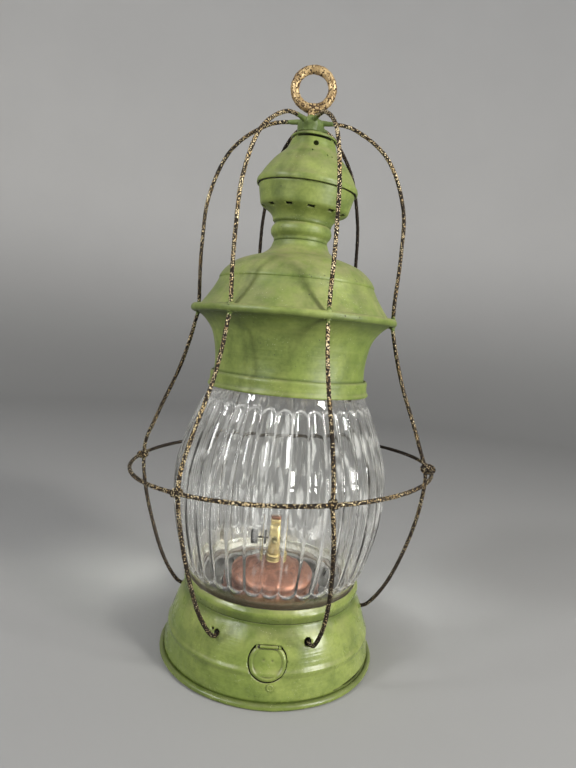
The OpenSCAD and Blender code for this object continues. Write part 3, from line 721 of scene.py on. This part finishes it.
def flap_shape():
    """The flap's plate: follows the skirt's outline, with a soft raised edge and two dents."""
    skirt = outline_of("base_skirt")
    frame_of_flap = flap_frame()
    back = frame_of_flap.inverted()
    rings = 26
    sides = 72
    outer = []
    inner = []
    for i in range(1, rings + 1):
        share = i / rings
        for k in range(sides):
            a = 2 * math.pi * k / sides
            x = share * FLAP_RADIUS * math.cos(a)
            up = min(share * FLAP_RADIUS * math.sin(a), HINGE_LINE)
            height = 33.3 * MM + up * math.cos(math.radians(FLAP_SLOPE))
            rim = float(np.interp(height, skirt[:, 1], skirt[:, 0]))
            depth = rim - math.sqrt(max(rim * rim - x * x, 0))
            local = back @ (at(FLAP_AZIMUTH, rim - depth, height) @ Vector((0, 0, 0)))
            lift = 0.9 * MM * math.exp(-((share - 0.88) / 0.08) ** 2)
            lift += 0.25 * MM * (1 - share)
            for dent_x, dent_up in ((-3.2 * MM, 2 * MM), (3.4 * MM, 1.6 * MM)):
                lift -= 0.5 * MM * math.exp(-((x - dent_x) ** 2 + (up - dent_up) ** 2) / (1.3 * MM) ** 2)
            outer.append(frame_of_flap @ Vector((x, local.y - lift, local.z)))
            inner.append(frame_of_flap @ Vector((x * 0.99, local.y + SHEET, local.z)))
    centre_out = sum(outer[:sides], Vector()) / sides
    centre_in = sum(inner[:sides], Vector()) / sides
    verts = outer + inner + [centre_out, centre_in]
    count = rings * sides
    faces = [face[::-1] for face in grid_faces(rings, sides, close_rows=False)]
    faces += [[count + i for i in face] for face in grid_faces(rings, sides, close_rows=False)]
    last = (rings - 1) * sides
    for k in range(sides):
        n = (k + 1) % sides
        faces.append([last + n, last + k, count + last + k, count + last + n])
        faces.append([k, n, 2 * count])
        faces.append([count + n, count + k, 2 * count + 1])
    return verts, faces


def make_flap():
    """The flap with the knuckle that its pin goes through."""
    hinge = next(j for j in frame["joints"] if j["name"] == "flap_hinge")
    pivot = Vector(hinge["pos_m"])
    axis = Vector(hinge["axis"])
    ends = [pivot + axis * x for x in np.linspace(-7 * MM, 7 * MM, 20)]
    knuckle = swept(ends, [1.5 * MM] * 20, 24)
    tongue_frame = flap_frame()
    tongue = prism(slot_outline(13.6 * MM, 3.4 * MM, 0.4 * MM), tongue_frame @ Matrix.Translation((0, 1.9 * MM, 9.2 * MM)),
                   1.1 * MM)
    add_piece("flap_plate", merged([flap_shape(), knuckle, tongue]), "green_paint", ["inspection_flap"], "flap")


# ---------- globe ----------

def make_globe():
    """Thick glass with concave flutes between sharp ridges; the flutes end in arches."""
    side = outline_of("globe", 1.5 * MM)
    low, high = (corner.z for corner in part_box("globe"))
    bottom_end = low + 17 * MM
    top_end = high - 15 * MM
    arch = 6.5 * MM
    columns = FLUTES * 14
    angle = np.linspace(0, 2 * math.pi, columns, endpoint=False)[None, :]
    across = np.cos(FLUTES * angle / 2)
    hollow = np.sqrt(across ** 2 + 0.006) - math.sqrt(0.006)
    from_middle = 1 - np.arcsin(np.abs(across)) * 2 / math.pi
    round_end = arch * (1 - np.sqrt(1 - from_middle ** 2))
    height = side[:, 1:]
    inside_end = np.minimum(height - bottom_end - round_end, top_end - round_end - height)
    reach = np.clip(inside_end / (3 * MM), 0, 1)
    reach = reach * reach * (3 - 2 * reach)
    flute = 2.3 * MM * hollow * reach
    outer = side[:, :1] - flute
    inner = side[:, :1] - 2.9 * MM - 0.85 * flute
    radius = np.vstack([outer, inner[::-1]])
    levels = np.vstack([height, height[::-1]])
    levels = np.broadcast_to(levels, radius.shape)
    radius = radius + 0.5 * dents(angle, levels)
    verts = np.stack([radius * np.sin(angle), -radius * np.cos(angle), levels], axis=-1).reshape(-1, 3)
    add_piece("fluted_globe", (verts, grid_faces(len(radius), columns)), "glass", ["globe"])


# ---------- guard ----------

def wire_path(index, steps=34):
    """Centre line of a guard wire, drifting in azimuth below the hoop, with a few hand-made bends."""
    curve = smooth_curve(WIRE_ROUTE, steps) * MM
    points = []
    for i, (radius, height) in enumerate(curve):
        drift = min(max((hoop_z - height) / (hoop_z - foot_z), 0), 1)
        azimuth = WIRE_AZIMUTHS[index] + (FOOT_AZIMUTHS[index] - WIRE_AZIMUTHS[index]) * drift
        free = min(abs(height - brim_z), abs(height - hoop_z), height - foot_z, hub_top - height) / (20 * MM)
        sway = Vector(noise.noise_vector(Vector((11 * height, 3.7 * index, 0)))) * 1.6 * MM * min(max(free, 0), 1)
        points.append(radius * outwards(azimuth) + Vector((0, 0, height)) + sway)
    return resampled(points, 0.9 * MM)


def make_wires():
    """Guard wires with lumpy skins, and the painted solder that holds them in the hub."""
    sleeves = []
    for index in range(len(WIRE_AZIMUTHS)):
        path = wire_path(index)
        radii = [WIRE * (1 + 0.10 * noise.noise(Vector((*(260 * p),)) + Vector((index, 0, 0)))) for p in path]
        wire = roughened(swept(path, radii), 0.16 * MM, 620, index)
        add_piece(f"guard_wire_{index + 1}", wire, "gilt_wire", [f"cage_wire_{index + 1}"])
        start = path[:int(10 + 3 * (index % 3))]
        fat = [(2.4 - 0.75 * i / len(start)) * MM for i in range(len(start))]
        sleeves.append(roughened(swept(start, fat), 0.5 * MM, 240, index + 0.5))
    add_piece("hub_solder", merged(sleeves), "green_paint", material=HUB_PAINT)


def hoop_point(azimuth, radius):
    """Point at an azimuth on a circle of the tilted hoop."""
    out = outwards(azimuth)
    return Vector((radius * out.x * math.cos(hoop_tilt), radius * out.y, hoop_z + radius * out.x * math.sin(hoop_tilt)))


def make_hoop():
    """The hoop, and the wound bindings where it crosses the wires."""
    count = 900
    path = []
    for i in range(count):
        azimuth = 360 * i / count
        bend = 0.35 * MM * math.sin(math.radians(5 * azimuth + 40)) + 0.25 * MM * math.sin(math.radians(3 * azimuth))
        path.append(hoop_point(azimuth, hoop_r + bend))
    radii = [WIRE * (1 + 0.10 * noise.noise(240 * p)) for p in path]
    add_piece("guard_hoop_bent", roughened(swept(path, radii, 14, True), 0.16 * MM, 620), "gilt_wire", ["guard_hoop"])

    knots = []
    for index, azimuth in enumerate(WIRE_AZIMUTHS):
        centre = hoop_point(azimuth, hoop_r - WIRE)
        out = outwards(azimuth)
        along = Vector((0, 0, 1)).cross(out)
        big = 1.35 if index == 1 else 1.0
        knots.append(blob(centre, (big * 3.3 * MM, big * 3.5 * MM, big * 2.9 * MM), at(azimuth, 0, 0), 0.5, 5.0 * index))
        turns = 3
        loops = []
        for i in range(turns * 26):
            a = 2 * math.pi * i / 26
            slant = (i / (turns * 26) - 0.5) * 4.2 * MM
            loops.append(centre + out * 4.3 * MM * big * math.cos(a) + Vector((0, 0, 2.7 * MM * big)) * math.sin(a)
                         + along * (slant + 0.8 * MM * math.sin(a)))
        knots.append(swept(loops, [0.65 * MM] * len(loops), 8))
    add_piece("hoop_bindings", roughened(merged(knots), 0.35 * MM, 420), "gilt_wire", ["hoop_ties"])


def make_brim_solder():
    """Drops of painted solder where the wires pass the brim."""
    drops = []
    for index, azimuth in enumerate(WIRE_AZIMUTHS):
        spot = outwards(azimuth) * brim_hole_r
        drops.append(blob(spot + Vector((0, 0, brim_z + 2.2 * MM)), (2.7 * MM, 2.6 * MM, 2.4 * MM), None, 0.5, index))
        drops.append(blob(spot + Vector((0, 0, brim_z - 2.6 * MM)), (2.4 * MM, 2.3 * MM, 2.2 * MM), None, 0.5, index + 9))
    add_piece("brim_solder_drops", roughened(merged(drops), 0.3 * MM, 350), "green_paint", ["brim_solder"],
              material=SOLID_PAINT)


def make_hub_and_eye():
    """Lumpy painted hub, and the pitted eye with its weld."""
    hub = outline_of("spider_hub", 0.7 * MM)
    hub = np.vstack([hub, [(3.5 * MM, hub_top)]])
    hub[:, 1] = hub[0, 1] + 0.8 * (hub[:, 1] - hub[0, 1])
    body = roughened(turned(sheet_loop(smoothed(hub, 3), 3 * MM), 2.5, 96), 1.3 * MM, 120)
    add_piece("hub_lump", body, "green_paint", ["spider_hub"], material=HUB_PAINT)

    low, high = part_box("hanging_eye")
    bar = 3.75 * MM
    ring_r = (high.x - low.x) / 2 - bar
    centre = Vector((0, 0, high.z - ring_r - bar))
    path = []
    radii = []
    for i in range(220):
        a = 2 * math.pi * i / 220
        path.append(centre + ring_r * Vector((math.cos(a), 0, math.sin(a))))
        weld = math.exp(-((a - 1.5 * math.pi) / 0.42) ** 2)
        radii.append(bar * (0.95 + 0.16 * weld + 0.05 * noise.noise(90 * path[-1])))
    ring = roughened(swept(path, radii, 28, True), 0.32 * MM, 330)
    foot_low = hub_top - 4 * MM
    foot_high = centre.z - ring_r
    heights = np.linspace(foot_low, foot_high, 14)
    waist = np.array([(4.6 * MM - 1.4 * MM * math.sin(math.pi * (z - foot_low) / (foot_high - foot_low)), z) for z in heights])
    stem = roughened(turned(sheet_loop(waist, 2 * MM), 1, 48), 0.5 * MM, 300)
    add_piece("pitted_eye", merged([ring, stem]), "gilt_wire", ["hanging_eye"], "eye", EYE_GILT)


# ---------- font and burner ----------

def make_font():
    """Dented copper tank with its filler collar."""
    side = outline_of("font_shell", 0.9 * MM)
    side = np.vstack([[(1 * MM, side[0, 1])], side])
    side = smoothed(resampled(side, 0.9 * MM), 1)
    add_piece("copper_tank", roughened(turned(sheet_loop(side, 0.9 * MM), 2.2), 0.25 * MM, 70), "copper",
              ["font_shell"], "font")

    low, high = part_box("burner_collar")
    threads = np.array([(high.x - 0.9 * MM * (i % 2), z) for i, z in enumerate(np.linspace(low.z, high.z, 7))])
    add_piece("threaded_collar", turned(sheet_loop(threads, 1.8 * MM), 0.3, 96), "brass", ["burner_collar"], "font")

    body = outline_of("burner_body", 0.5 * MM)
    add_piece("burner_flange", turned(sheet_loop(body, 1.2 * MM), 0.3, 120), "brass", ["burner_body"], "font")


def loft(sections, sides=48, power=3.2):
    """Closed tube through rounded rectangles: (height, half width, half depth, y of the middle)."""
    verts = []
    for height, half_w, half_d, middle in sections:
        for k in range(sides):
            a = 2 * math.pi * k / sides
            c, s = math.cos(a), math.sin(a)
            verts.append(Vector((half_w * math.copysign(abs(c) ** (2 / power), c),
                                 middle + half_d * math.copysign(abs(s) ** (2 / power), s), height)))
    faces = grid_faces(len(sections), sides, close_rows=False)
    faces.append(list(range(sides))[::-1])
    faces.append(list(range(len(verts) - sides, len(verts))))
    return verts, faces


def make_burner():
    """Sheet brass wick case with shoulders and a charred tip, slotted screw and thumb wheel."""
    case_low, case_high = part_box("gear_case")
    tube_low, tube_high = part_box("wick_tube")
    case_y = (case_low.y + tube_high.y) / 2
    case_d = (tube_high.y - case_low.y) / 2
    shoulder = case_high.z
    sections = [
        (case_low.z - 1.6 * MM, 5.6 * MM, case_d - 0.6 * MM, case_y),
        (case_low.z, 6.4 * MM, case_d, case_y),
        (case_low.z + 2 * MM, 7.0 * MM, case_d, case_y),
        (case_low.z + 9 * MM, 6.7 * MM, case_d, case_y),
        (shoulder - 2 * MM, 5.9 * MM, case_d, case_y),
        (shoulder - 0.6 * MM, 5.7 * MM, case_d - 0.8 * MM, case_y + 0.4 * MM),
        (shoulder, 5.5 * MM, 3.2 * MM, -0.6 * MM),
        (shoulder + 0.6 * MM, 5.2 * MM, 2.8 * MM, 0),
    ]
    rim = [
        (shoulder + 0.4 * MM, 5.9 * MM, 3.1 * MM, 0),
        (shoulder + 1.0 * MM, 6.1 * MM, 3.3 * MM, 0),
        (shoulder + 2.2 * MM, 6.0 * MM, 3.2 * MM, 0),
        (shoulder + 2.6 * MM, 5.7 * MM, 2.9 * MM, 0),
    ]
    case = merged([loft(sections), loft(rim)])
    add_piece("wick_case", roughened(case, 0.12 * MM, 260), "brass", ["gear_case"], "font")
    tip = loft([
        (shoulder + 2.4 * MM, 5.6 * MM, 2.8 * MM, 0),
        (tube_high.z - 0.6 * MM, 5.9 * MM, 3.0 * MM, 0),
        (tube_high.z, 5.7 * MM, 2.9 * MM, 0),
    ])
    add_piece("wick_case_tip", roughened(tip, 0.15 * MM, 260), "brass", ["wick_tube"], "font", CHARRED_BRASS)

    low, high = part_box("burner_screw")
    centre = (low + high) / 2
    facing = Matrix.Translation(centre)
    screw = mesh_object("slotted_screw", prism(round_outline(3.0 * MM, count=40), facing, 1.8 * MM))
    bevel = screw.modifiers.new("edge", "BEVEL")
    bevel.width = 0.35 * MM
    bevel.segments = 3
    apply_modifiers(screw)
    slot_at = facing @ Matrix.Translation((0, -1.0 * MM, 0)) @ Matrix.Rotation(math.radians(25), 4, "Y")
    cut(screw, [prism(slot_outline(8 * MM, 0.8 * MM, 0.1 * MM), slot_at, 1.0 * MM)])
    add_piece("slotted_screw", screw, "brass", ["burner_screw"], "font", DULL_BRASS)

    low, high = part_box("thumb_wheel")
    centre = (low + high) / 2
    wheel_r = (high.z - low.z) / 2
    rim = []
    for share, radius in ((-0.5, 1.2), (-0.5, wheel_r / MM - 1), (-0.42, wheel_r / MM), (0.42, wheel_r / MM),
                          (0.5, wheel_r / MM - 1), (0.5, 1.2)):
        for k in range(192):
            a = 2 * math.pi * k / 192
            knurl = 1 - (0.05 * (0.5 + 0.5 * math.cos(24 * a)) if radius > wheel_r / MM - 0.5 else 0)
            rim.append(Vector((centre.x + share * (high.x - low.x), centre.y + knurl * radius * MM * math.cos(a),
                               centre.z + knurl * radius * MM * math.sin(a))))
    add_piece("knurled_wheel", (rim, grid_faces(6, 192)), "dark_steel", ["thumb_wheel"], "spindle", BLACK_KNURL)


def finish_cad_nodes():
    """Gives each CAD node that stays in view the finish of its slot."""
    for part in frame["record"]["subparts"]:
        node = frame["nodes"][part["node"]]
        node.data.materials.clear()
        node.data.materials.append(SEAT_TIN if part["node"] == "globe_seat" else MATERIALS[part["material_slot"]])


# ---------- camera, light and floor ----------

def make_camera():
    """Phone-like wide camera in front of the lantern, tipped down and rolled so that the lantern leans."""
    tip = math.radians(5.04)
    roll = math.radians(5.0)
    forward = Vector((0, math.cos(tip), -math.sin(tip)))
    level_up = Vector((0, math.sin(tip), math.cos(tip)))
    side = Vector((1, 0, 0))
    right = math.cos(roll) * side + math.sin(roll) * level_up
    up = math.cos(roll) * level_up - math.sin(roll) * side
    camera = bpy.data.cameras.new("camera")
    camera.sensor_width = 36
    camera.lens = 26.0
    camera.clip_start = 0.01
    holder = bpy.data.objects.new("camera", camera)
    holder.matrix_world = Matrix.Translation((0, -0.48, 0.278)) @ Matrix(
        ((right.x, up.x, -forward.x), (right.y, up.y, -forward.y), (right.z, up.z, -forward.z))).to_4x4()
    bpy.context.scene.collection.objects.link(holder)
    bpy.context.scene.camera = holder


def add_softbox(name, place, size, watts, colour):
    """Square area light that faces the middle of the lantern."""
    light = bpy.data.lights.new(name, "AREA")
    light.size = size
    light.energy = watts
    light.color = colour
    holder = bpy.data.objects.new(name, light)
    facing = (Vector((0, 0, 0.28)) - Vector(place)).to_track_quat("-Z", "Y")
    holder.matrix_world = Matrix.Translation(place) @ facing.to_matrix().to_4x4()
    bpy.context.scene.collection.objects.link(holder)


def make_stage():
    """Pale floor that sweeps up all round, so that no view has a horizon; it is painted darker on the floor and lighter
    up the wall, a painted shade.
    """
    flat_r, bend_r, top = 1.5, 0.9, 2.6
    profile = [(0.02 + (flat_r - 0.02) * i / 12, 0) for i in range(13)]
    profile += [(flat_r + bend_r * math.sin(a), bend_r * (1 - math.cos(a))) for a in np.linspace(0.08, math.pi / 2, 20)]
    profile.append((flat_r + bend_r, top))
    profile = np.array(profile)
    angle = np.linspace(0, 2 * math.pi, 96, endpoint=False)[None, :]
    verts = np.stack([profile[:, :1] * np.cos(angle), profile[:, :1] * np.sin(angle),
                      np.broadcast_to(profile[:, 1:], (len(profile), 96))], axis=-1).reshape(-1, 3)
    faces = [face[::-1] for face in grid_faces(len(profile), 96, close_rows=False)]
    faces.append(list(range(96)))
    floor = mesh_object("floor", (verts, faces))
    r = Recipe("backdrop")
    _, height = r.axis_distance()
    # Darker on the floor and lighter up the wall: painted shade on one grey sweep.
    shade = r.blend(r.band(height, 0.0, 0.9), (0.30, 0.297, 0.288), (0.72, 0.71, 0.69))
    r.put(r.shader.inputs["Base Color"], r.blend(r.math("MULTIPLY", r.noise(3, 3), 0.12), shade, (0.2, 0.2, 0.21)))
    r.shader.inputs["Roughness"].default_value = 0.85
    floor.data.materials.append(r.material)

    world = bpy.data.worlds.new("studio")
    world.use_nodes = True
    world.node_tree.nodes["Background"].inputs["Color"].default_value = (0.80, 0.83, 0.88, 1)
    world.node_tree.nodes["Background"].inputs["Strength"].default_value = 0.46
    bpy.context.scene.world = world

    add_softbox("key", (1.15, -0.85, 1.1), 0.24, 20, (1.0, 0.98, 0.94))
    add_softbox("fill", (-1.15, -0.8, 1.1), 0.22, 13, (0.98, 0.98, 1.0))
    add_softbox("low_right", (0.95, -0.66, 0.26), 0.26, 8, (1.0, 0.99, 0.96))
    add_softbox("low_left", (-0.85, -1.1, 0.7), 0.26, 4, (1.0, 1.0, 1.0))
    bpy.context.scene.view_settings.view_transform = "Standard"


make_camera()
make_stage()
finish_cad_nodes()
make_hood()
make_base()
make_flap()
make_globe()
make_wires()
make_hoop()
make_brim_solder()
make_hub_and_eye()
make_font()
make_burner()
